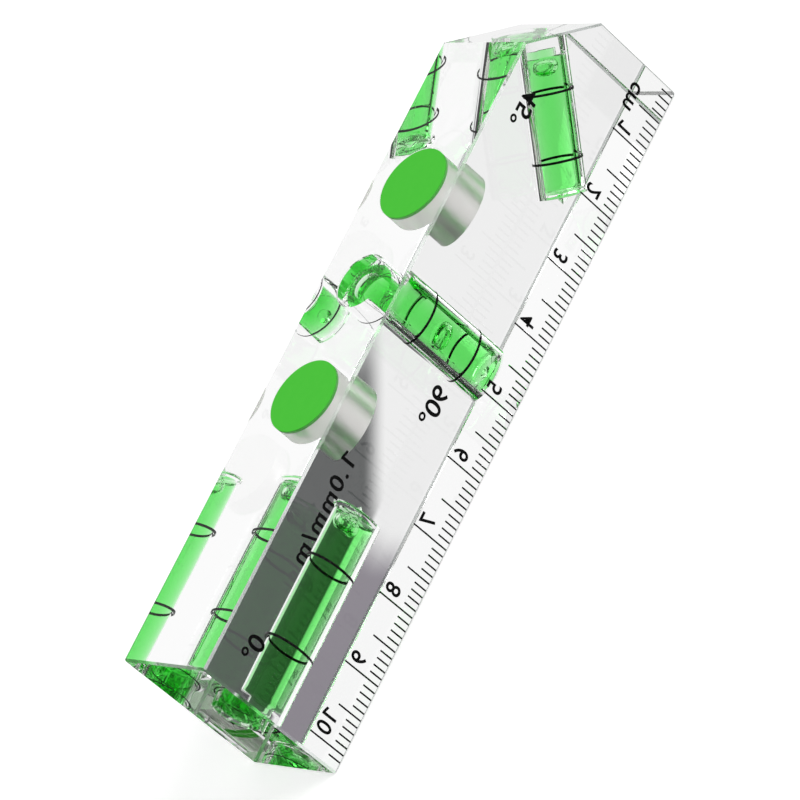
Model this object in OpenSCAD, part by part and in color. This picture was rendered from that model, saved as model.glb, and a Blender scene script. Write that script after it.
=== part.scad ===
// Pocket spirit level: a clear acrylic block with three tubular vials, two magnets and a
// centimetre scale. It stands on its scale edge, with the magnet face up and the printed
// face towards +Y. The origin is the middle of the bottom face, in millimetres.

/* [Block] */
// Length along the scale
block_len = 102.5; // [96:0.5:120]
// Height from the scale edge to the magnet face
block_h = 25.5; // [24:0.5:36]
// Thickness from the plain front face to the printed face
block_t = 16; // [14:0.5:24]
// Leg of the 45 degree cut at the scale's zero end
corner_cut = 9.6; // [9:0.2:12]
// Polished bevel on the outer edges
edge_bevel = 0.3; // [0.1:0.1:0.6]

/* [Scale] */
// Number of millimetre lines, counted from the zero end
line_count = 101; // [50:1:101]
// Distance from one line to the next
line_pitch = 1; // [1:1:2]
// Width of one line
line_w = 0.24; // [0.1:0.02:0.4]
// Length of a centimetre line
cm_line_len = 6.5; // [5.5:0.1:7.5]
// Length of a five millimetre line
half_line_len = 4.3; // [3:0.1:5]
// Length of a millimetre line
mm_line_len = 2.2; // [1.2:0.1:2.8]
// Depth of the engraving that holds the ink
line_depth = 0.1; // [0.05:0.01:0.3]

/* [Magnets] */
// Diameter of a magnet
magnet_d = 10.6; // [8:0.1:11]
// Height of a magnet
magnet_h = 5.4; // [3:0.1:8]
// Thickness of the green disc that covers a magnet
cover_t = 1; // [0.6:0.1:2]
// Distance between the two magnets
magnet_pitch = 32; // [26:0.5:36]
// Middle of the magnet pair, from the zero end
magnet_mid = 47.3; // [44:0.1:50]
// Distance of the magnets' axes from the printed face
magnet_depth = 7.7; // [6.8:0.1:8.2]

/* [Vials] */
// Outer diameter of a vial tube
vial_d = 7.8; // [7:0.1:8.2]
// Thickness of a tube's wall at the ends of its bore
tube_wall = 0.4; // [0.3:0.05:0.6]
// Growth of the bore's radius at the middle of the barrel shape
barrel_rise = 0.1; // [0.02:0.01:0.12]
// Length of the level vial's tube
level_len = 27.4; // [20:0.2:30]
// Length of the plumb and corner vials' tubes
short_len = 18.1; // [15:0.1:18.5]
// Depth of the level tube's mouth below the block's end face
level_inset = 2.8; // [2:0.1:5]
// Depth of the plumb tube's mouth below the magnet face
plumb_inset = 3.6; // [2:0.1:4]
// Depth of the corner tube's mouth below the corner face
corner_inset = 3.1; // [2:0.1:4]
// Thickness of a tube's closed end
end_wall = 0.5; // [0.4:0.1:1.5]
// Radius of the hollow nib on the closed end
nib_r = 1.2; // [0.8:0.1:1.8]
// Bevel round a tube's closed end
tube_bevel = 0.3; // [0.1:0.1:0.6]
// Height of the nib
nib_h = 1.2; // [0.6:0.1:1.6]
// Distance of the vials' axes from the printed face
vial_depth = 8; // [7:0.1:9]
// Height of the level vial's axis above the scale edge
level_vial_z = 11.95; // [11:0.05:14]
// Distance of the corner vial's axis above the middle of the corner face
corner_vial_rise = 0.1; // [0:0.1:1.2]
// Distance of the plumb vial's axis from the zero end
plumb_vial_x = 46.1; // [44:0.1:50]

/* [Marker rings] */
// Distance between the level vial's rings
level_ring_pitch = 11.7; // [8:0.1:14]
// Distance between a short vial's rings
short_ring_pitch = 8.9; // [6:0.1:10]
// Width of a ring
ring_w = 0.36; // [0.2:0.02:0.6]
// Depth of a ring's seat in the tube
ring_seat = 0.1; // [0.06:0.01:0.15]

/* [Plugs] */
// Depth of a plug's top below the block's face
plug_inset = 0.1; // [0.05:0.05:0.5]
// Bevel round a plug's top
plug_bevel = 0.2; // [0.1:0.05:0.4]
// Diameter of the recess under a plug, which the liquid fills
recess_d = 4; // [3:0.1:5]
// Height of the recess
recess_h = 1; // [0.5:0.1:1.4]

/* [Bubbles] */
// Diameter of a bubble
bubble_d = 4.4; // [3:0.1:4.8]
// Length of a bubble along its vial
bubble_len = 2.4; // [1.6:0.1:3.4]
// Clearance of a bubble from the chamber's ends
bubble_gap = 0.15; // [0.05:0.05:0.4]
// Distance of the level bubble above its vial's axis
level_bubble_rise = 0.9; // [0:0.05:1]

/* [Fits] */
// Clearance of a tube in its pocket, on the radius
pocket_gap = 0.1; // [0.05:0.01:0.2]
// Clearance of a magnet and its cover in their pocket, on the radius
magnet_gap = 0.1; // [0.05:0.01:0.2]
// Clearance between faces that seat on each other
seat_gap = 0.02; // [0.01:0.01:0.05]
// Squeeze of a marker ring against its pocket's wall
ring_squeeze = 0.02; // [0.01:0.01:0.05]

/* [Hidden] */
$fn = 64;

// A cutting tool runs this far past the face that it cuts
over = 1;
// Straight steps that make up one curve of a revolved outline
curve_steps = 14;
// How square a bubble's ends are: 2 is an ellipse
bubble_power = 2.4;
zero_end = -block_len / 2;
print_face = block_t / 2;
vial_r = vial_d / 2;
bore_r = vial_r - tube_wall;
pocket_r = vial_r + pocket_gap;
// The hollow of the nib inside the tube
nib_bore_r = nib_r - tube_wall;
nib_bore_h = nib_h - tube_wall;
magnet_pocket_r = magnet_d / 2 + magnet_gap;
magnet_pocket_h = magnet_h + cover_t + 2 * seat_gap;
vial_y = print_face - vial_depth;
magnet_y = print_face - magnet_depth;
// The middle of the corner face, and the vial's mouth on it
corner_mid = corner_cut / 2;
mouth_shift = corner_vial_rise / sqrt(2);

// Depth along a vial, below the block's face, at which things lie
function chamber_floor(inset, len) = inset + len - end_wall;
function bubble_top(inset) = inset + bubble_gap + bubble_len / 2;
function bubble_floor(inset, len) = chamber_floor(inset, len) - bubble_gap - bubble_len / 2;
function vial_mid(inset, len) = inset + len / 2;

// Outline of the barrel-shaped chamber, shrunk by a gap, from its top down to its floor
function chamber_points(top, floor, gap) = [
  for (i = [0 : curve_steps])
    let (t = i / curve_steps, depth = top + gap + t * (floor - top - 2 * gap))
    [bore_r + barrel_rise * (1 - pow(2 * t - 1, 2)) - gap, -depth]
];

// Half outline of a bubble about its own middle, grown by a gap, from bottom to top
function bubble_points(gap) = [
  for (i = [0 : 2 * curve_steps])
    let (a = -90 + 90 * i / curve_steps, c = cos(a), s = sin(a))
    [(bubble_d / 2 + gap) * pow(abs(c), 2 / bubble_power),
     (bubble_len / 2 + gap) * sign(s) * pow(abs(s), 2 / bubble_power)]
];

// Step of a ring's seat in a tube's outline, from below the ring to above it
function seat_points(z) = [
  [vial_r, z - ring_w / 2], [vial_r - ring_seat, z - ring_w / 2],
  [vial_r - ring_seat, z + ring_w / 2], [vial_r, z + ring_w / 2]
];

// Each vial is drawn with its mouth at z = 0, running down, and then put in its place
module at_level_vial() {
  translate([zero_end + block_len, vial_y, level_vial_z]) rotate([0, 90, 0]) children();
}

module at_plumb_vial() {
  translate([zero_end + plumb_vial_x, vial_y, block_h]) children();
}

module at_corner_vial() {
  translate([zero_end + corner_mid + mouth_shift, vial_y, block_h - corner_mid + mouth_shift])
    rotate([0, -45, 0]) children();
}

module at_magnet(side) {
  translate([zero_end + magnet_mid + side * magnet_pitch / 2, magnet_y, block_h]) children();
}

// Blind hole for a vial, with a drill's centre point that takes the tube's nib
module vial_pocket(inset, len) {
  depth = inset + len + seat_gap;
  rotate_extrude() polygon([
    [0, over], [pocket_r, over], [pocket_r, -depth], [nib_r + pocket_gap, -depth],
    [0, -depth - nib_h - pocket_gap]
  ]);
}

// Clear thin-walled tube with a closed end, a nib, two ring seats and a barrel-shaped bore
module vial_tube(inset, len, ring_pitch) {
  bottom = -inset - len;
  mid = -vial_mid(inset, len);
  color([0.9, 0.95, 0.92, 0.4]) rotate_extrude() polygon(concat(
    [[0, bottom - nib_h], [nib_r, bottom], [vial_r - tube_bevel, bottom], [vial_r, bottom + tube_bevel]],
    seat_points(mid - ring_pitch / 2),
    seat_points(mid + ring_pitch / 2),
    [[vial_r, -inset]],
    chamber_points(inset, chamber_floor(inset, len), 0),
    [[nib_bore_r, -chamber_floor(inset, len)], [0, -chamber_floor(inset, len) - nib_bore_h]]
  ));
}

// Clear plug that closes the pocket above the tube, with a recess underneath
module vial_plug(inset) {
  color([0.7, 0.9, 0.72, 0.5]) rotate_extrude() polygon([
    [0, -plug_inset], [vial_r - plug_bevel, -plug_inset], [vial_r, -plug_inset - plug_bevel],
    [vial_r, -inset + seat_gap], [recess_d / 2, -inset + seat_gap],
    [recess_d / 2, -inset + recess_h], [0, -inset + recess_h]
  ]);
}

// Green fill of the tube and the plug's recess, with the hollow that the bubble leaves
module vial_liquid(inset, len, bubble_depth, rise = 0) {
  floor = chamber_floor(inset, len);
  column_r = recess_d / 2 - seat_gap;
  column_top = -inset + recess_h - seat_gap;
  color([0.3, 0.85, 0.35, 0.6]) difference() {
    rotate_extrude() polygon(concat(
      [[0, column_top], [column_r, column_top], [column_r, -inset - seat_gap]],
      chamber_points(inset, floor, seat_gap),
      [[nib_bore_r, seat_gap - floor], [0, seat_gap - floor - nib_bore_h]]
    ));
    translate([-rise, 0, -bubble_depth]) rotate_extrude() polygon(bubble_points(seat_gap));
  }
}

module vial_bubble(bubble_depth, rise = 0) {
  color([1, 1, 1, 0.5]) translate([-rise, 0, -bubble_depth]) rotate_extrude() polygon(bubble_points(0));
}

// Black marker ring in its seat, squeezed against the pocket's wall
module vial_ring(depth) {
  color("black") translate([0, 0, -depth - ring_w / 2 + seat_gap]) difference() {
    cylinder(h = ring_w - 2 * seat_gap, r = pocket_r + ring_squeeze);
    translate([0, 0, -over]) cylinder(h = ring_w + 2 * over, r = vial_r - ring_seat + seat_gap);
  }
}

// Length of the scale line at a whole millimetre
function line_len(mm) = mm % 10 == 0 ? cm_line_len : mm % 5 == 0 ? half_line_len : mm_line_len;

// All the scale lines, as bars of one width sunk into the printed face
module scale_bars(width, depth, rise) {
  for (mm = [1 : line_count])
    translate([zero_end + mm * line_pitch - width / 2, print_face - depth, edge_bevel])
      cube([width, depth + rise, line_len(mm)]);
}

// Plate outline with bevelled corners, as wide and high as given, from its lower left corner
module bevelled_rect(w, h) {
  b = edge_bevel;
  polygon([[b, 0], [w - b, 0], [w, b], [w, h - b], [w - b, h], [b, h], [0, h - b], [0, b]]);
}

// Side outline of the block, with the 45 degree corner cut
module side_outline() {
  difference() {
    bevelled_rect(block_len, block_h);
    translate([0, block_h]) rotate(45) square([2 * corner_cut, sqrt(2) * corner_cut], center = true);
  }
}

// Bevel along the two long edges of the corner face
module corner_face_bevels() {
  for (side = [-1, 1])
    translate([zero_end + corner_mid, side * block_t / 2, block_h - corner_mid])
      rotate([0, -45, 0]) rotate([45, 0, 0])
        cube([2 * corner_cut, sqrt(2) * edge_bevel, sqrt(2) * edge_bevel], center = true);
}

module acrylic_block() {
  color([0.92, 0.96, 0.95, 0.3]) difference() {
    intersection() {
      translate([zero_end, block_t / 2, 0]) rotate([90, 0, 0]) linear_extrude(block_t) side_outline();
      translate([zero_end, -block_t / 2, 0]) linear_extrude(block_h) bevelled_rect(block_len, block_t);
      translate([zero_end, -block_t / 2, 0]) rotate([90, 0, 90]) linear_extrude(block_len)
        bevelled_rect(block_t, block_h);
    }
    corner_face_bevels();
    at_level_vial() vial_pocket(level_inset, level_len);
    at_plumb_vial() vial_pocket(plumb_inset, short_len);
    at_corner_vial() vial_pocket(corner_inset, short_len);
    for (side = [-1, 1])
      at_magnet(side) translate([0, 0, -magnet_pocket_h])
        cylinder(h = magnet_pocket_h + over, r = magnet_pocket_r);
    scale_bars(line_w, line_depth, over);
  }
}

module scale_lines() {
  color("black") scale_bars(line_w - 2 * seat_gap, line_depth - seat_gap, 0);
}

module magnet(side) {
  color("silver") at_magnet(side) translate([0, 0, seat_gap - magnet_pocket_h])
    cylinder(h = magnet_h, r = magnet_d / 2);
}

module cover(side) {
  color([0.31, 0.76, 0.23]) at_magnet(side) translate([0, 0, -cover_t])
    cylinder(h = cover_t, r = magnet_d / 2);
}

// Where each bubble rests: by the nib in the level vial, between the rings in the plumb
// vial, and under the plug in the corner vial
level_bubble_depth = bubble_floor(level_inset, level_len);
plumb_bubble_depth = vial_mid(plumb_inset, short_len);
corner_bubble_depth = bubble_top(corner_inset);

module level_tube() { at_level_vial() vial_tube(level_inset, level_len, level_ring_pitch); }
module level_plug() { at_level_vial() vial_plug(level_inset); }
module level_liquid() {
  at_level_vial() vial_liquid(level_inset, level_len, level_bubble_depth, level_bubble_rise);
}
module level_bubble() { at_level_vial() vial_bubble(level_bubble_depth, level_bubble_rise); }
module level_inner_ring() {
  at_level_vial() vial_ring(vial_mid(level_inset, level_len) + level_ring_pitch / 2);
}
module level_outer_ring() {
  at_level_vial() vial_ring(vial_mid(level_inset, level_len) - level_ring_pitch / 2);
}

module plumb_tube() { at_plumb_vial() vial_tube(plumb_inset, short_len, short_ring_pitch); }
module plumb_plug() { at_plumb_vial() vial_plug(plumb_inset); }
module plumb_liquid() { at_plumb_vial() vial_liquid(plumb_inset, short_len, plumb_bubble_depth); }
module plumb_bubble() { at_plumb_vial() vial_bubble(plumb_bubble_depth); }
module plumb_inner_ring() {
  at_plumb_vial() vial_ring(vial_mid(plumb_inset, short_len) + short_ring_pitch / 2);
}
module plumb_outer_ring() {
  at_plumb_vial() vial_ring(vial_mid(plumb_inset, short_len) - short_ring_pitch / 2);
}

module corner_tube() { at_corner_vial() vial_tube(corner_inset, short_len, short_ring_pitch); }
module corner_plug() { at_corner_vial() vial_plug(corner_inset); }
module corner_liquid() { at_corner_vial() vial_liquid(corner_inset, short_len, corner_bubble_depth); }
module corner_bubble() { at_corner_vial() vial_bubble(corner_bubble_depth); }
module corner_inner_ring() {
  at_corner_vial() vial_ring(vial_mid(corner_inset, short_len) + short_ring_pitch / 2);
}
module corner_outer_ring() {
  at_corner_vial() vial_ring(vial_mid(corner_inset, short_len) - short_ring_pitch / 2);
}

module zero_side_magnet() { magnet(-1); }
module end_side_magnet() { magnet(1); }
module zero_side_cover() { cover(-1); }
module end_side_cover() { cover(1); }

acrylic_block();
scale_lines();
level_tube();
level_plug();
level_liquid();
level_bubble();
level_inner_ring();
level_outer_ring();
plumb_tube();
plumb_plug();
plumb_liquid();
plumb_bubble();
plumb_inner_ring();
plumb_outer_ring();
corner_tube();
corner_plug();
corner_liquid();
corner_bubble();
corner_inner_ring();
corner_outer_ring();
zero_side_magnet();
end_side_magnet();
zero_side_cover();
end_side_cover();
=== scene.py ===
# Clear acrylic pocket level with three green vials, two magnets and a printed centimetre scale.
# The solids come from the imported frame; this script gives them their finishes, draws the
# printed figures and sets up the table top, the light and the camera. Units are metres.
import math
import bmesh
import bpy
from mathutils import Matrix, Vector


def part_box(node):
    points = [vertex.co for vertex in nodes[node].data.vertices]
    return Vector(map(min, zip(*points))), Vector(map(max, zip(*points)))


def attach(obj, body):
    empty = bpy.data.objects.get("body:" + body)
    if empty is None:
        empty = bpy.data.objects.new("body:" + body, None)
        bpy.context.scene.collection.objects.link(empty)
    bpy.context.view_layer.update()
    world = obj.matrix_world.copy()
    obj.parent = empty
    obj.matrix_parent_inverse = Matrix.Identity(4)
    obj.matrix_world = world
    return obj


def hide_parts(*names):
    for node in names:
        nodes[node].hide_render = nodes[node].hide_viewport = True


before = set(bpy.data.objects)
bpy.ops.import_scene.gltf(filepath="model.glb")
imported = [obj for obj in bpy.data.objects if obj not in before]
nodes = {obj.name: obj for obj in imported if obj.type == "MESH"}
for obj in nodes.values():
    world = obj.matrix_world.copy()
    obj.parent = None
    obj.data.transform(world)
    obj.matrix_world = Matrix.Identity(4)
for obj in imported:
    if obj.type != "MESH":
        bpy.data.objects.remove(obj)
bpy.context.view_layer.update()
mm = 0.001


def linearColour(hexCode):
    channels = [int(hexCode[i:i + 2], 16) / 255 for i in (1, 3, 5)]
    return [c / 12.92 if c <= 0.04045 else ((c + 0.055) / 1.055) ** 2.4 for c in channels] + [1.0]


def addNode(tree, kind, settings, output=0):
    # a setting is a link from another node, the value of an input, or a property of the node
    made = tree.nodes.new(kind)
    for name, value in settings.items():
        if isinstance(value, bpy.types.NodeSocket):
            tree.links.new(value, made.inputs[name])
        elif isinstance(name, int) or name in made.inputs:
            made.inputs[name].default_value = value
        else:
            setattr(made, name, value)
    return made.outputs[output] if made.outputs else None


def addMath(tree, operation, first, second):
    return addNode(tree, "ShaderNodeMath", {"operation": operation, 0: first, 1: second})


def addFade(tree, value, limits, low=0.0, high=1.0, curve="LINEAR"):
    # low at the first limit, high at the second, and level beyond them
    return addNode(tree, "ShaderNodeMapRange", {
        "interpolation_type": curve, "Value": value, "From Min": limits[0], "From Max": limits[1],
        "To Min": low, "To Max": high})


def addMix(tree, amount, first, second):
    return addNode(tree, "ShaderNodeMixShader", {0: amount, 1: first, 2: second})


def addDot(tree, vector, way):
    return addNode(tree, "ShaderNodeVectorMath", {"operation": "DOT_PRODUCT", 0: vector, 1: way},
                   "Value")


def newMaterial(name):
    material = bpy.data.materials.new(name)
    material.use_nodes = True
    tree = material.node_tree
    tree.nodes.clear()
    return material, tree, addNode(tree, "ShaderNodeTexCoord", {}, "Object")


def newMesh(name, shape):
    mesh = bpy.data.meshes.new(name)
    shape.to_mesh(mesh)
    shape.free()
    return mesh


def addObject(name, data):
    made = bpy.data.objects.new(name, data)
    bpy.context.scene.collection.objects.link(made)
    return made


def dress(nodeName, *materials):
    mesh = nodes[nodeName].data
    mesh.materials.clear()
    for material in materials:
        mesh.materials.append(material)
    return mesh


def setFinish(mesh, face, material):
    face.material_index = mesh.materials.find(material.name)


print("materials")

acrylic = {
    "ior": 1.49,
    "rippleScale": 90.0,     # cast sheet, polished: ripples about 11 mm apart
    "rippleStrength": 0.02,
    "rippleHeight": 0.02 * mm,
}


def makeAcrylic(name):
    # cast acrylic, flame polished: clear, with a very slow ripple that bends what shows through
    material, tree, coords = newMaterial(name)
    ripple = addNode(tree, "ShaderNodeTexNoise", {
        "Scale": acrylic["rippleScale"], "Detail": 1.0, "Vector": coords})
    bump = addNode(tree, "ShaderNodeBump", {
        "Strength": acrylic["rippleStrength"], "Distance": acrylic["rippleHeight"],
        "Height": ripple})
    shader = addNode(tree, "ShaderNodeBsdfPrincipled", {
        "Base Color": (1, 1, 1, 1), "Roughness": 0.0, "IOR": acrylic["ior"],
        "Transmission Weight": 1.0, "Normal": bump})
    addNode(tree, "ShaderNodeOutputMaterial", {"Surface": shader})
    return material


edges = {
    "machined": {"colour": "#DDE2DF", "transmission": 0.93, "roughness": 0.12},
    # a rougher, dimmer and less clear copy of the edge finish, for the edges that face down, back
    # or to the zero end
    "dimmer": {"colour": "#BEC4C1", "transmission": 0.76, "roughness": 0.18},
    "grainScale": 3000.0,
    "roughest": 2,           # the grain's roughest spots, as a multiple of the roughness
}


def makeEdge(name, finish):
    # the broken edges are left as the cutter left them: a fine matt line round each face
    material, tree, coords = newMaterial(name)
    grain = addNode(tree, "ShaderNodeTexNoise", {"Scale": edges["grainScale"], "Vector": coords})
    rough = addFade(tree, grain, (0.0, 1.0), finish["roughness"],
                    edges["roughest"] * finish["roughness"])
    shader = addNode(tree, "ShaderNodeBsdfPrincipled", {
        "Base Color": linearColour(finish["colour"]), "IOR": acrylic["ior"],
        "Transmission Weight": finish["transmission"], "Roughness": rough})
    addNode(tree, "ShaderNodeOutputMaterial", {"Surface": shader})
    return material


def makeWetted():
    # where liquid, plug or cement wets a wall there is no optical surface
    material, tree, coords = newMaterial("wettedAcrylic")
    shader = addNode(tree, "ShaderNodeBsdfTransparent", {})
    addNode(tree, "ShaderNodeOutputMaterial", {"Surface": shader})
    return material


cement = {
    "dryAbove": 16.6 * mm,   # behind the plumb vial the cement stops at this height
}


def makePartlyWetted():
    # behind the plumb vial: no optical surface up to where the cement stops, a mirroring gap above
    material, tree, coords = newMaterial("partlyWettedAcrylic")
    height = addNode(tree, "ShaderNodeSeparateXYZ", {"Vector": coords}, "Z")
    above = addMath(tree, "GREATER_THAN", height, cement["dryAbove"])
    wetted = addNode(tree, "ShaderNodeBsdfTransparent", {})
    gap = addNode(tree, "ShaderNodeBsdfGlass", {"IOR": acrylic["ior"], "Roughness": 0.0})
    addNode(tree, "ShaderNodeOutputMaterial", {"Surface": addMix(tree, above, wetted, gap)})
    return material


liquid = {
    "ior": 0.94,             # spirit at 1.40 inside acrylic at 1.49
    "airIor": 1 / 1.4,       # air inside spirit
    "colour": "#4DF355",
    "density": 280.0,        # per metre: light green across one bore, deep green along it
}


def makeLiquid():
    # dyed spirit: light green through one bore, deep green where light runs along the vial
    material, tree, coords = newMaterial("greenSpirit")
    shader = addNode(tree, "ShaderNodeBsdfGlass", {"IOR": liquid["ior"], "Roughness": 0.0})
    absorb = addNode(tree, "ShaderNodeVolumeAbsorption", {
        "Color": linearColour(liquid["colour"]), "Density": liquid["density"]})
    addNode(tree, "ShaderNodeOutputMaterial", {"Surface": shader, "Volume": absorb})
    return material


def makeAir():
    # air bubble in spirit: a bright rim of total reflection
    material, tree, coords = newMaterial("airBubble")
    shader = addNode(tree, "ShaderNodeBsdfGlass", {"IOR": liquid["airIor"], "Roughness": 0.0})
    addNode(tree, "ShaderNodeOutputMaterial", {"Surface": shader})
    return material


ink = {
    "darkest": "#050505",
    "palest": "#0E0E0E",
    "grainScale": 4000.0,
    "specular": 0.1,
    "scaleRoughness": 0.6,
    "ringRoughness": 0.35,
}


def makeBlackInk(name, roughness):
    # black paint in a thin coat: matt on the scale, satin on the rings, hardly any shine
    material, tree, coords = newMaterial(name)
    grain = addNode(tree, "ShaderNodeTexNoise", {"Scale": ink["grainScale"], "Vector": coords})
    tone = addNode(tree, "ShaderNodeMixRGB", {
        "Color1": linearColour(ink["darkest"]), "Color2": linearColour(ink["palest"]),
        "Fac": grain})
    shader = addNode(tree, "ShaderNodeBsdfPrincipled", {
        "Roughness": roughness, "Specular IOR Level": ink["specular"], "Base Color": tone})
    addNode(tree, "ShaderNodeOutputMaterial", {"Surface": shader})
    return material


nickel = {
    "colour": "#F2F1EE",
    "grainScale": 500.0,
    "smoothest": 0.38,
    "roughest": 0.42,
}


def makeNickel():
    # nickel-plated magnet, barrel finished: bright, slightly soft
    material, tree, coords = newMaterial("nickelPlate")
    grain = addNode(tree, "ShaderNodeTexNoise", {"Scale": nickel["grainScale"], "Vector": coords})
    rough = addFade(tree, grain, (0.0, 1.0), nickel["smoothest"], nickel["roughest"])
    shader = addNode(tree, "ShaderNodeBsdfPrincipled", {
        "Base Color": linearColour(nickel["colour"]), "Metallic": 1.0, "Roughness": rough})
    addNode(tree, "ShaderNodeOutputMaterial", {"Surface": shader})
    return material


cover = {
    "darker": "#3ED622",
    "lighter": "#46DA2A",
    "grainScale": 900.0,
    "roughness": 0.45,
}


def makeCover():
    # green plastic disc, punched from sheet: even colour, satin
    material, tree, coords = newMaterial("greenCoverSheet")
    grain = addNode(tree, "ShaderNodeTexNoise", {
        "Scale": cover["grainScale"], "Detail": 3.0, "Vector": coords})
    tone = addNode(tree, "ShaderNodeMixRGB", {
        "Color1": linearColour(cover["darker"]), "Color2": linearColour(cover["lighter"]),
        "Fac": grain})
    shader = addNode(tree, "ShaderNodeBsdfPrincipled", {
        "Roughness": cover["roughness"], "Base Color": tone})
    addNode(tree, "ShaderNodeOutputMaterial", {"Surface": shader})
    return material


castAcrylic = makeAcrylic("castAcrylic")
mouldedAcrylic = makeAcrylic("mouldedAcrylic")
machinedEdge = makeEdge("machinedEdge", edges["machined"])
dimmerEdge = makeEdge("dimmerEdge", edges["dimmer"])
wettedAcrylic = makeWetted()
partlyWetted = makePartlyWetted()
greenSpirit = makeLiquid()
airBubble = makeAir()
scaleInk = makeBlackInk("scaleInk", ink["scaleRoughness"])
ringPaint = makeBlackInk("ringPaint", ink["ringRoughness"])
nickelPlate = makeNickel()
coverSheet = makeCover()

print("vials")

# Each vial points outwards along "out". Cement doesn't reach all round a tube: where it is dry,
# the gap mirrors. The dry sectors are in degrees round the tube and its plug, from "side"
# towards the printed face; in "partly" sectors the tube is wetted up to where the cement stops.
vials = {
    "level": {"out": (1, 0, 0), "side": (0, 0, 1), "dry": [(121, 160)], "dryPlug": [(121, 160)],
              "partly": []},
    "plumb": {"out": (0, 0, 1), "side": (1, 0, 0), "dry": [(134, 166), (173, 206), (-22, 52)],
              "dryPlug": [(134, 166), (-187, 52)], "partly": [(206, 338)]},
    "corner": {"out": (-1, 0, 1), "side": (1, 0, 1), "dry": [(-190, -157), (-35, 25)],
               "dryPlug": [(-190, -157), (-35, 52)], "partly": []},
}
vialFit = {
    "boreRadius": 3.7 * mm,  # faces nearer the axis than this are the bore's
    "dryEnd": 1.45 * mm,     # the tube's closed end and its nib sit dry in the pocket
    "ofSide": 0.1,           # a plug's side faces have a normal nearly square to its axis
    "facingOut": 0.9,        # the face of the cement that shows has one nearly along it
    "mouthRadius": 4.0 * mm,
    "plugInset": 0.1 * mm,   # from the face to the plug
    "mouthGap": 0.005 * mm,  # free space over and under the cement in a mouth
    "mouthSegments": 96,
    "weld": 0.0005 * mm,     # points of the liquid that are closer than this become one
}


def findAxis(vial):
    # middle of a vial's tube and the way it points outwards
    low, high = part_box(vial + "_tube")
    return (low + high) / 2, Vector(vials[vial]["out"]).normalized()


vialAxes = {vial: findAxis(vial) for vial in vials}


def alongAcross(vial, point):
    # how far a point lies along a vial, and its offset from the vial's axis
    middle, out = vialAxes[vial]
    offset = point - middle
    along = offset.dot(out)
    return along, offset - out * along


def findSpan(vial):
    # how far the tube reaches along its axis, either way from its middle
    offsets = [alongAcross(vial, v.co)[0] for v in nodes[vial + "_tube"].data.vertices]
    return min(offsets), max(offsets)


vialSpans = {vial: findSpan(vial) for vial in vials}


def inSector(vial, across, sectors):
    side = Vector(vials[vial]["side"]).normalized()
    turn = math.degrees(math.atan2(across.y, across.dot(side)))
    return any((turn - first) % 360 < last - first for first, last in vials[vial][sectors])


def splitTube(vial):
    # the bore is wetted by the liquid, and the outside by the cement but for its dry sectors
    mesh = dress(vial + "_tube", mouldedAcrylic, wettedAcrylic, partlyWetted)
    for face in mesh.polygons:
        along, across = alongAcross(vial, face.center)
        if along < vialSpans[vial][0] + vialFit["dryEnd"]:
            continue
        if across.length < vialFit["boreRadius"]:
            setFinish(mesh, face, wettedAcrylic)
        elif not inSector(vial, across, "dry"):
            partly = inSector(vial, across, "partly")
            setFinish(mesh, face, partlyWetted if partly else wettedAcrylic)


def splitPlug(vial):
    # a plug is wetted all over, but for its side where the cement doesn't reach
    mesh = dress(vial + "_plug", mouldedAcrylic, wettedAcrylic)
    out = vialAxes[vial][1]
    for face in mesh.polygons:
        across = alongAcross(vial, face.center)[1]
        ofSide = (abs(face.normal.dot(out)) < vialFit["ofSide"]
                  and across.length > vialFit["boreRadius"])
        if not (ofSide and inSector(vial, across, "dryPlug")):
            setFinish(mesh, face, wettedAcrylic)


def coverMouth(vial):
    # clear cement wiped flush with the face over a plug and the gap round it
    middle, out = vialAxes[vial]
    top = max(alongAcross(vial, v.co)[0] for v in nodes[vial + "_plug"].data.vertices)
    thickness = vialFit["plugInset"] - 2 * vialFit["mouthGap"]
    shape = bmesh.new()
    bmesh.ops.create_cone(shape, cap_ends=True, segments=vialFit["mouthSegments"],
                          radius1=vialFit["mouthRadius"], radius2=vialFit["mouthRadius"],
                          depth=thickness)
    turn = Vector((0, 0, 1)).rotation_difference(out).to_matrix().to_4x4()
    centre = middle + out * (top + vialFit["mouthGap"] + thickness / 2)
    bmesh.ops.transform(shape, matrix=Matrix.Translation(centre) @ turn, verts=shape.verts)
    mesh = newMesh(vial + "MouthCement", shape)
    mesh.materials.append(castAcrylic)
    mesh.materials.append(wettedAcrylic)
    for face in mesh.polygons:
        outermost = face.normal.dot(out) > vialFit["facingOut"]
        setFinish(mesh, face, castAcrylic if outermost else wettedAcrylic)
    piece = addObject(vial + "MouthCement", mesh)
    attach(piece, "block")


def drawLiquid(vial):
    # the liquid again, without the hollow at the bubble's rest place
    shape = bmesh.new()
    shape.from_mesh(nodes[vial + "_liquid"].data)
    bmesh.ops.remove_doubles(shape, verts=shape.verts, dist=vialFit["weld"])
    # from its farthest point the skin is walked along its edges; the rest is the hollow
    middle = vialAxes[vial][0]
    front = [max(shape.verts, key=lambda v: (v.co - middle).length)]
    skin = set(front)
    while front:
        vert = front.pop()
        for edge in vert.link_edges:
            other = edge.other_vert(vert)
            if other not in skin:
                skin.add(other)
                front.append(other)
    hollow = [v for v in shape.verts if v not in skin]
    bmesh.ops.delete(shape, geom=hollow, context="VERTS")
    mesh = newMesh(vial + "LiquidBody", shape)
    for face in mesh.polygons:
        face.use_smooth = True
    mesh.materials.append(greenSpirit)
    piece = addObject(vial + "LiquidBody", mesh)
    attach(piece, "block")
    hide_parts(vial + "_liquid")


for vial in vials:
    splitTube(vial)
    splitPlug(vial)
    coverMouth(vial)
    drawLiquid(vial)
    dress(vial + "_bubble", airBubble)
    dress(vial + "_inner_ring", ringPaint)
    dress(vial + "_outer_ring", ringPaint)

print("block, magnets and covers")

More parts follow.
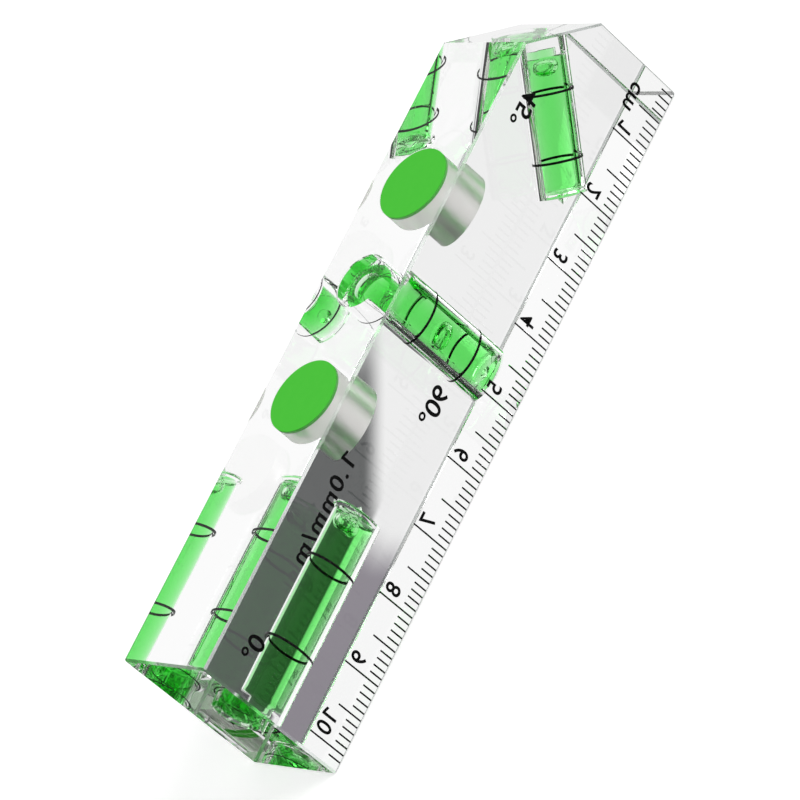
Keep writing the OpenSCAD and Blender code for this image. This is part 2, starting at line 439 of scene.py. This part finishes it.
blockFit = {
    "faceSkin": 0.35 * mm,   # a face whose middle is nearer than this to an outside plane is on it
    "squareOn": 0.95,        # a bevel's normal leans from every axis: no part of it reaches this
    "dimmerWay": -0.3,       # the edges that look down, back or to the zero end get the rougher, dimmer, less clear finish
    "magnetPocket": 5.6 * mm,    # what is nearer a magnet's axis than this is its pocket
    "vialPocket": 4.2 * mm,  # what is nearer a vial's axis than this is its pocket,
    "belowTube": 1 * mm,     # from this far below the tube
    "aboveTube": 4 * mm,     # to this far above it
    "onEnd": 0.01 * mm,      # a point this near to the zero end is on it
}
blockLow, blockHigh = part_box("acrylic_block")


def depthsBelow(at, cut):
    # how deep a point lies below each outside plane; the last is the 45 degree cut
    return [at.x - blockLow.x, blockHigh.x - at.x, at.y - blockLow.y, blockHigh.y - at.y,
            at.z - blockLow.z, blockHigh.z - at.z, (at.x - blockLow.x + cut - at.z) / math.sqrt(2)]


def pocketFinish(at, magnets):
    # the walls of the pockets are wetted where cement fills the gap
    finish = castAcrylic
    if any((at - middle).xy.length < blockFit["magnetPocket"] for middle in magnets):
        finish = wettedAcrylic
    for vial in vials:
        along, across = alongAcross(vial, at)
        shortest, longest = vialSpans[vial]
        ofPocket = (across.length < blockFit["vialPocket"]
                    and shortest - blockFit["belowTube"] < along < longest + blockFit["aboveTube"])
        if (ofPocket and along > shortest + vialFit["dryEnd"]
                and not inSector(vial, across, "dry")):
            finish = partlyWetted if inSector(vial, across, "partly") else wettedAcrylic
    return finish


def splitBlock():
    # outside faces are polished, and the bevels are as the cutter left them
    mesh = dress("acrylic_block", castAcrylic, wettedAcrylic, machinedEdge, partlyWetted,
                 dimmerEdge)
    cut = max(v.co.z for v in mesh.vertices if v.co.x < blockLow.x + blockFit["onEnd"])
    magnets = [sum(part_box(side + "_side_magnet"), Vector()) / 2 for side in ("zero", "end")]
    for face in mesh.polygons:
        nearPlanes = sum(depth < blockFit["faceSkin"] for depth in depthsBelow(face.center, cut))
        if not nearPlanes:
            setFinish(mesh, face, pocketFinish(face.center, magnets))
        elif nearPlanes > 1 and max(abs(part) for part in face.normal) < blockFit["squareOn"]:
            # edges facing down, back or to the zero end get the dimmer, less clear finish
            dimmerSide = min(face.normal) < blockFit["dimmerWay"]
            setFinish(mesh, face, dimmerEdge if dimmerSide else machinedEdge)


splitBlock()
dress("scale_lines", scaleInk)
for side in ("zero", "end"):
    dress(side + "_side_magnet", nickelPlate)
    dress(side + "_side_cover", coverSheet)

print("figures")

figures = {
    "inkDepth": 0.03 * mm,   # the ink lies this far inside the printed face
    "inkThickness": 0.02 * mm,
    "boldness": 0.06 * mm,   # how far each stroke grows on either side
    "narrow": 0.82,          # the figures are a little condensed
    "capShare": 0.7,         # a capital's height as a share of the font's size
    "capHeight": 2.55 * mm,
    "numberBase": 3.8 * mm,  # baseline of the numbers above the scale edge
    "numberGap": 0.7 * mm,   # from a number to its line
    "numberStep": 10 * mm,   # a number at each centimetre
    "lastNumber": 10,
}
flagShape = {                # the flag of a 1, in shares of the figure's height
    "reach": 0.34,           # how far its tip stands out to the left of the stem
    "run": 0.39,
    "drop": 0.12,
    "stroke": 0.17,
    "stemWidth": 0.1,        # the top of the stem is looked for this close to its left side
}


def letterMesh(text, height, spacing):
    curve = bpy.data.curves.new("letters", "FONT")
    curve.body = text
    curve.size = height / figures["capShare"]
    curve.space_character = spacing
    curve.extrude = figures["inkThickness"] / 2
    curve.offset = figures["boldness"]
    holder = addObject("letters", curve)
    bpy.context.view_layer.update()
    graph = bpy.context.evaluated_depsgraph_get()
    mesh = bpy.data.meshes.new_from_object(holder.evaluated_get(graph))
    bpy.data.objects.remove(holder)
    if text.startswith("1"):
        addFlag(mesh, height)
    mesh.transform(Matrix.Diagonal((figures["narrow"], 1, 1, 1)))
    return mesh


def addFlag(mesh, height):
    # the scale's 1 has a short flag to the left of its head
    left = min(v.co.x for v in mesh.vertices)
    top = max(v.co.y for v in mesh.vertices if v.co.x < left + flagShape["stemWidth"] * height)
    tip = left - flagShape["reach"] * height
    run, drop, stroke = [flagShape[part] * height for part in ("run", "drop", "stroke")]
    shape = bmesh.new()
    shape.from_mesh(mesh)
    flag = bmesh.ops.create_cube(shape, size=1)["verts"]
    slant = Matrix(((run, 0, 0, tip + run / 2), (drop, stroke, 0, top - (drop + stroke) / 2),
                    (0, 0, figures["inkThickness"], 0), (0, 0, 0, 1)))
    bmesh.ops.transform(shape, matrix=slant, verts=flag)
    shape.to_mesh(mesh)
    shape.free()


def findEnds(mesh):
    xs = [v.co.x for v in mesh.vertices]
    return min(xs), max(xs)


def printFigure(name, text, base, height, left=0, right=None, width=None, spacing=1.0):
    # left, right and base are measured from the scale's zero and edge; text stands upright
    mesh = letterMesh(text, height, spacing)
    first, last = findEnds(mesh)
    if width:
        mesh.transform(Matrix.Diagonal((width / (last - first), 1, 1, 1)))
        first, last = findEnds(mesh)
    start = left - first if right is None else right - last
    spot = Vector((blockLow.x + start, blockHigh.y - figures["inkDepth"], base))
    mesh.transform(Matrix.Translation(spot) @ Matrix.Rotation(math.radians(90), 4, "X"))
    mesh.materials.append(scaleInk)
    piece = addObject(name, mesh)
    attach(piece, "block")


for number in range(1, figures["lastNumber"] + 1):
    printFigure("scaleNumber%02d" % number, str(number), figures["numberBase"],
                figures["capHeight"], right=number * figures["numberStep"] - figures["numberGap"])
printFigure("unitMark", "cm", 5.55 * mm, 2.6 * mm, left=2.9 * mm, width=3.75 * mm)
printFigure("cornerAngle", "45°", 19.55 * mm, 2.55 * mm, left=14.05 * mm, width=5.25 * mm)
printFigure("plumbAngle", "90°", 11.0 * mm, 2.65 * mm, left=53.4 * mm, width=5.4 * mm)
printFigure("levelAngle", "0°", 18.9 * mm, 2.75 * mm, left=94.65 * mm, width=3.2 * mm)
printFigure("sensitivity", "1.0mm/m", 19.25 * mm, 2.35 * mm, left=68.25 * mm, width=15.6 * mm,
            spacing=1.15)

print("table top, light and camera")

room = {
    "diffuse": 0.55,         # how strongly the white room lights the object
    "dark": 0.035,           # how bright the room's dark side is
    "darkWay": (0.717, 0.358, 0.597),    # towards the room's dark side
    "darkFade": (0.36, 0.43),    # cosine of the angle to it, from white to dark
    "mirrored": 0.5,         # what outside faces mirror of the room
}
# through glass and in the outside faces the paper glows with painted shade and painted reflection,
# set by place
paper = {
    "halfSide": 3.0,
    "height": -0.05 * mm,
    "colour": "#F6F6F6",
    "seen": 0.89,            # how white it looks through glass
    "whiteReach": (0.35, 0.7),   # through glass it fades to dark between these distances
    "endFade": (56 * mm, 71 * mm),   # and beyond the level vial's end
    "underFade": (-9 * mm, -8 * mm),     # from the block's foot on it looks fully white
    "mirrored": 0.06,        # what the front face mirrors
    "mirroredBehind": 0.8,   # what the top and the cut corner mirror, behind the block
    "behindFade": (-20 * mm, -8 * mm),
    "mirroredEnd": 0.03,     # what the end face mirrors, beyond the level vial's end
    "mirroredEndFade": (20 * mm, 50 * mm),
}
# painted shade: a grey sheet that only shows through the block, behind the level vial's end
shadeCard = {
    "colour": "#585A5A",
    "low": (-24 * mm, -50 * mm),
    "high": (56 * mm, -8.6 * mm),
    "height": -0.02 * mm,
    "slantWay": (0.545, -0.838, 0.0),    # its slanted edge fades along this way
    "slantFade": (19.3 * mm, 23.3 * mm),
    "frontFade": (-15.2 * mm, -16.4 * mm),
    "startFade": (-21 * mm, -2 * mm),
}
# painted reflection: a lilac-grey strip that only shows through the block, in the reflecting strip
# at its foot
reflectionLedge = {
    "colour": "#918C94",
    "ends": (16 * mm, 52 * mm),
    "near": -8.1 * mm,
    "fold": -11.2 * mm,
    "height": 1.9 * mm,
    "foot": -0.01 * mm,
    "startFade": (16 * mm, 24 * mm),
}
lamp = {
    "place": (-0.4, 0.5, 0.7),
    "target": (0, 0, 0),
    "size": 0.5,
    "power": 3.0,
}
white = (1, 1, 1, 1)


def rayKinds(tree):
    # rays from the camera, rays that come out of glass, and rays off an outside face
    camera, glass, glossy = [addNode(tree, "ShaderNodeLightPath", {}, "Is %s Ray" % kind)
                             for kind in ("Camera", "Transmission", "Glossy")]
    offFace = addMath(tree, "SUBTRACT", glossy, glass)
    return camera, glass, addMath(tree, "GREATER_THAN", offFace, 0.5)


def makeTable():
    # white paper: it takes the object's shadow and shows white to the camera; through glass and in
    # the outside faces it glows instead, with painted shade and painted reflection set by place
    shape = bmesh.new()
    bmesh.ops.create_grid(shape, x_segments=1, y_segments=1, size=paper["halfSide"])
    material, tree, coords = newMaterial("whitePaper")
    camera, glass, mirrored = rayKinds(tree)
    x, y = [addNode(tree, "ShaderNodeSeparateXYZ", {"Vector": coords}, axis) for axis in "XY"]
    far = addNode(tree, "ShaderNodeVectorMath", {"operation": "LENGTH", 0: coords}, "Value")
    # painted shade seen through glass: the glow fades to dark far off and beyond the level vial's
    # end, and is fully white under the block's foot
    nearness = addFade(tree, far, paper["whiteReach"], 1.0, 0.0)
    before = addFade(tree, x, paper["endFade"], 1.0, 0.0)
    under = addFade(tree, y, paper["underFade"], paper["seen"], 1.0)
    paintedShadeThroughGlass = addFade(tree, addMath(tree, "MULTIPLY", nearness, before), (0.0, 1.0),
                           room["dark"], under)
    # painted reflection: how bright the paper glows in each outside face, set by place
    behind = addFade(tree, y, paper["behindFade"], paper["mirroredBehind"], paper["mirrored"])
    paintedReflection = addFade(tree, x, paper["mirroredEndFade"], behind, paper["mirroredEnd"])
    diffuse = addNode(tree, "ShaderNodeBsdfDiffuse", {"Color": linearColour(paper["colour"])})
    lift = addNode(tree, "ShaderNodeEmission", {
        "Color": white, "Strength": addMath(tree, "MULTIPLY", camera, 1.0 - room["diffuse"])})
    plain = addNode(tree, "ShaderNodeAddShader", {0: diffuse, 1: lift})
    level = addMath(tree, "ADD", addMath(tree, "MULTIPLY", glass, paintedShadeThroughGlass),
                    addMath(tree, "MULTIPLY", mirrored, paintedReflection))
    paintedGlow = addNode(tree, "ShaderNodeEmission", {"Color": white, "Strength": level})
    shown = addMix(tree, addMath(tree, "MAXIMUM", glass, mirrored), plain, paintedGlow)
    addNode(tree, "ShaderNodeOutputMaterial", {"Surface": shown})
    mesh = newMesh("tableTop", shape)
    mesh.materials.append(material)
    table = addObject("tableTop", mesh)
    table.location.z = paper["height"]


def seenThroughGlass(name, colour, limits):
    # coloured sheet that only shows through the clear block, for painted shade and painted
    # reflection: it is clear to all other rays, and fades in softly between each pair of limits
    material, tree, coords = newMaterial(name)
    amount = rayKinds(tree)[1]
    for way, fade in limits:
        soft = addFade(tree, addDot(tree, coords, way), fade, curve="SMOOTHSTEP")
        amount = addMath(tree, "MULTIPLY", amount, soft)
    glow = addNode(tree, "ShaderNodeEmission", {"Color": linearColour(colour)})
    clear = addNode(tree, "ShaderNodeBsdfTransparent", {})
    addNode(tree, "ShaderNodeOutputMaterial", {"Surface": addMix(tree, amount, clear, glow)})
    return material


def makeCard():
    # painted shade: a grey sheet lying behind the level vial's end, where the block hides it, seen
    # only through the glass
    low, high = Vector(shadeCard["low"]), Vector(shadeCard["high"])
    middle, span = (low + high) / 2, high - low
    shape = bmesh.new()
    bmesh.ops.create_grid(shape, x_segments=1, y_segments=1, size=0.5)
    bmesh.ops.scale(shape, vec=(span.x, span.y, 1), verts=shape.verts)
    bmesh.ops.translate(shape, vec=(middle.x, middle.y, shadeCard["height"]), verts=shape.verts)
    mesh = newMesh("paintedShadeCard", shape)
    mesh.materials.append(seenThroughGlass("paintedShadeCard", shadeCard["colour"], [
        (shadeCard["slantWay"], shadeCard["slantFade"]), ((0, 1, 0), shadeCard["frontFade"]),
        ((1, 0, 0), shadeCard["startFade"])]))
    addObject("paintedShadeCard", mesh)


def makeLedge():
    # painted reflection: low folded lilac-grey strip along the foot of the block, behind the level
    # vial, seen only through the glass
    outline = [(reflectionLedge["near"], reflectionLedge["foot"]), (reflectionLedge["fold"], reflectionLedge["foot"]),
               (reflectionLedge["fold"], reflectionLedge["height"])]
    shape = bmesh.new()
    start, last = [[shape.verts.new((x, y, z)) for y, z in outline] for x in reflectionLedge["ends"]]
    for i in (0, 1):
        shape.faces.new((start[i], start[i + 1], last[i + 1], last[i]))
    mesh = newMesh("paintedReflectionLedge", shape)
    mesh.materials.append(seenThroughGlass("paintedReflectionCard", reflectionLedge["colour"], [
        ((1, 0, 0), reflectionLedge["startFade"])]))
    addObject("paintedReflectionLedge", mesh)


def makeWorld():
    # white behind the object; the room is dark beyond the level vial's end
    world = bpy.data.worlds.new("studio")
    bpy.context.scene.world = world
    world.use_nodes = True
    tree = world.node_tree
    tree.nodes.clear()
    camera, glass, mirrored = rayKinds(tree)
    way = addNode(tree, "ShaderNodeTexCoord", {}, "Generated")
    fade = addFade(tree, addDot(tree, way, room["darkWay"]), room["darkFade"], 1.0, room["dark"])
    seen = addMath(tree, "ADD", camera, addMath(tree, "MULTIPLY", glass, fade))
    shone = addMath(tree, "MULTIPLY", mirrored, room["mirrored"])
    known = addMath(tree, "MAXIMUM", mirrored, addMath(tree, "MAXIMUM", camera, glass))
    lit = addMath(tree, "MULTIPLY", addMath(tree, "SUBTRACT", 1.0, known), room["diffuse"])
    strength = addMath(tree, "ADD", addMath(tree, "ADD", seen, shone), lit)
    background = addNode(tree, "ShaderNodeBackground", {"Color": white, "Strength": strength})
    addNode(tree, "ShaderNodeOutputWorld", {"Surface": background})


def makeLamp():
    data = bpy.data.lights.new("key", "AREA")
    data.shape = "DISK"
    data.size = lamp["size"]
    data.energy = lamp["power"]
    made = addObject("key", data)
    made.location = lamp["place"]
    aim = Vector(lamp["target"]) - Vector(lamp["place"])
    made.rotation_euler = aim.to_track_quat("-Z", "Y").to_euler()


cameraSet = {
    "place": (236.2 * mm, 540.7 * mm, 418.2 * mm),
    "aim": (3.6 * mm, -0.4 * mm, 11.2 * mm),
    "roll": 49.35,           # degrees
    "lens": 253.8,
    "nearest": 0.01,
}


def makeCamera():
    data = bpy.data.cameras.new("camera")
    data.lens = cameraSet["lens"]
    data.clip_start = cameraSet["nearest"]
    spot = Vector(cameraSet["place"])
    look = (Vector(cameraSet["aim"]) - spot).to_track_quat("-Z", "Y")
    turn = Matrix.Rotation(-math.radians(cameraSet["roll"]), 4, "Z")
    camera = addObject("camera", data)
    camera.matrix_world = Matrix.Translation(spot) @ look.to_matrix().to_4x4() @ turn
    bpy.context.scene.camera = camera


makeTable()
makeCard()
makeLedge()
makeWorld()
makeLamp()
makeCamera()

scene = bpy.context.scene
scene.view_settings.view_transform = "Standard"
scene.cycles.max_bounces = 40    # a ray crosses many walls in the block before it leaves
scene.cycles.transmission_bounces = 32
scene.cycles.glossy_bounces = 16
scene.cycles.transparent_max_bounces = 32
